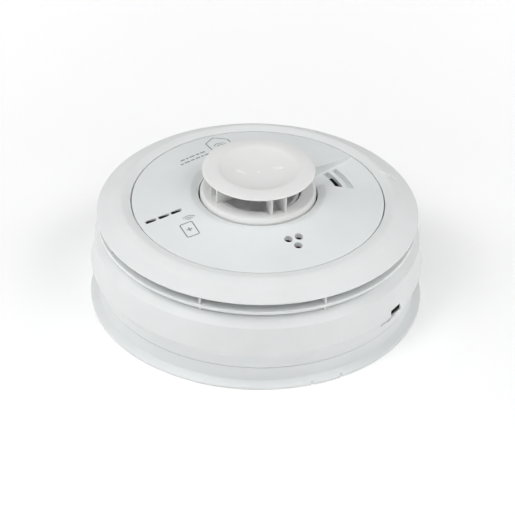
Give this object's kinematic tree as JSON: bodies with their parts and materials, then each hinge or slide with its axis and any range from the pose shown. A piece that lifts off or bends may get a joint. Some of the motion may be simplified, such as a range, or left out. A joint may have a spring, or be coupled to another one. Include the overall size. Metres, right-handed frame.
{
  "type": "heat and carbon monoxide alarm",
  "caption": "Round white ceiling alarm head with a caged heat sensor and a large test button, on its slide-on mounting base.",
  "frame": {"origin": "centre of the mounting base's back face, which lies on the ceiling or wall", "axes": "+Z out of the back face towards the sensor cage, +X the way the head slides off the base and towards the sounder slots, -Y towards the cable opening and the gas inlet holes"},
  "size_m": [0.141, 0.141, 0.062],
  "materials": {
    "white_base": "fine moulded texture",
    "white_shell": "fine satin moulded",
    "white_button": "fine satin moulded",
    "white_cage": "satin moulded, slightly warm",
    "ivory_plastic": "matt",
    "black_plastic": "matt",
    "smoked_guide": "clear smoked",
    "mesh_grey": "woven",
    "board_green": "solder mask",
    "brass": "rolled",
    "zinc_steel": "zinc plated",
    "copper_wire": "enamelled wire",
    "ferrite": "matt grey-black",
    "capacitor_sleeve": "shrink sleeve",
    "film_box": "moulded",
    "varistor_blue": "dipped epoxy",
    "cell_steel": "nickel plated",
    "gas_cell_body": "drawn can",
    "filter_red": "felt",
    "thermistor_bead": "dipped epoxy",
    "chip_black": "moulded epoxy",
    "piezo_brass": "polished disc",
    "led_green": "tinted clear",
    "led_red": "tinted clear",
    "led_amber": "tinted clear"
  },
  "bodies": {
    "base": {"mounting_base": "white_base", "terminal_block": "black_plastic", "terminal_clamp_1": "brass", "terminal_clamp_2": "brass", "terminal_clamp_3": "brass", "terminal_clamp_4": "brass", "terminal_screw_1": "zinc_steel", "terminal_screw_2": "zinc_steel", "terminal_screw_3": "zinc_steel", "terminal_screw_4": "zinc_steel", "socket_contact_1": "brass", "socket_contact_2": "brass", "socket_contact_3": "brass", "terminal_cover": "ivory_plastic", "catch_pin": "zinc_steel"},
    "catch": {"release_catch": "black_plastic"},
    "head": {"side_shell": "white_shell", "front_cover": "white_shell", "rear_housing": "white_shell", "housing_screw_1": "zinc_steel", "housing_screw_2": "zinc_steel", "housing_screw_3": "zinc_steel", "housing_screw_4": "zinc_steel", "connector_pin_1": "brass", "connector_pin_2": "brass", "connector_pin_3": "brass", "main_pcb": "board_green", "pcb_screw_1": "zinc_steel", "pcb_screw_2": "zinc_steel", "pcb_screw_3": "zinc_steel", "sounder_horn": "black_plastic", "piezo_disc": "piezo_brass", "co_sensor_cell": "gas_cell_body", "co_sensor_filter": "filter_red", "thermistor_carrier": "ivory_plastic", "thermistor": "thermistor_bead", "led_green": "led_green", "led_amber": "led_amber", "led_red": "led_red", "light_pipes": "smoked_guide", "switch_body": "chip_black", "backup_cell_1": "cell_steel", "backup_cell_2": "cell_steel", "transformer_core": "ferrite", "transformer_winding": "copper_wire", "supply_capacitor_1": "capacitor_sleeve", "supply_capacitor_2": "capacitor_sleeve", "film_capacitor": "film_box", "surge_varistor": "varistor_blue", "bridge_rectifier": "chip_black", "microcontroller": "chip_black", "inner_frame": "ivory_plastic", "insect_screen": "mesh_grey", "button_spring_1": "zinc_steel", "button_spring_2": "zinc_steel", "button_spring_3": "zinc_steel", "sensor_cage": "white_cage"},
    "button": {"test_button": "white_button"},
    "plunger": {"switch_plunger": "ivory_plastic"}
  },
  "joints": [
    {"name": "head_slide", "type": "slide", "parent": "base", "child": "head", "axis": [1, 0, 0], "range_m": [0, 0.014]},
    {"name": "button_press", "type": "slide", "parent": "head", "child": "button", "axis": [0, 0, -1], "range_m": [0, 0.001], "stiffness_N_per_m": 2000, "springref_m": -0.0015, "deforming": ["button_spring_1", "button_spring_2", "button_spring_3"]},
    {"name": "switch_press", "type": "slide", "parent": "head", "child": "plunger", "axis": [0, 0, -1], "range_m": [0, 0.001]},
    {"name": "catch_release", "type": "hinge", "parent": "base", "child": "catch", "pos_m": [0.03063, -0.05159, 0.0046], "axis": [-0.8599, -0.5105, 0], "range_deg": [0, 8], "stiffness_Nm_per_rad": 0.3, "springref_deg": -5.73}
  ],
  "couplings": [
    {"joint": "switch_press", "follows": "button_press", "ratio": 1}
  ]
}
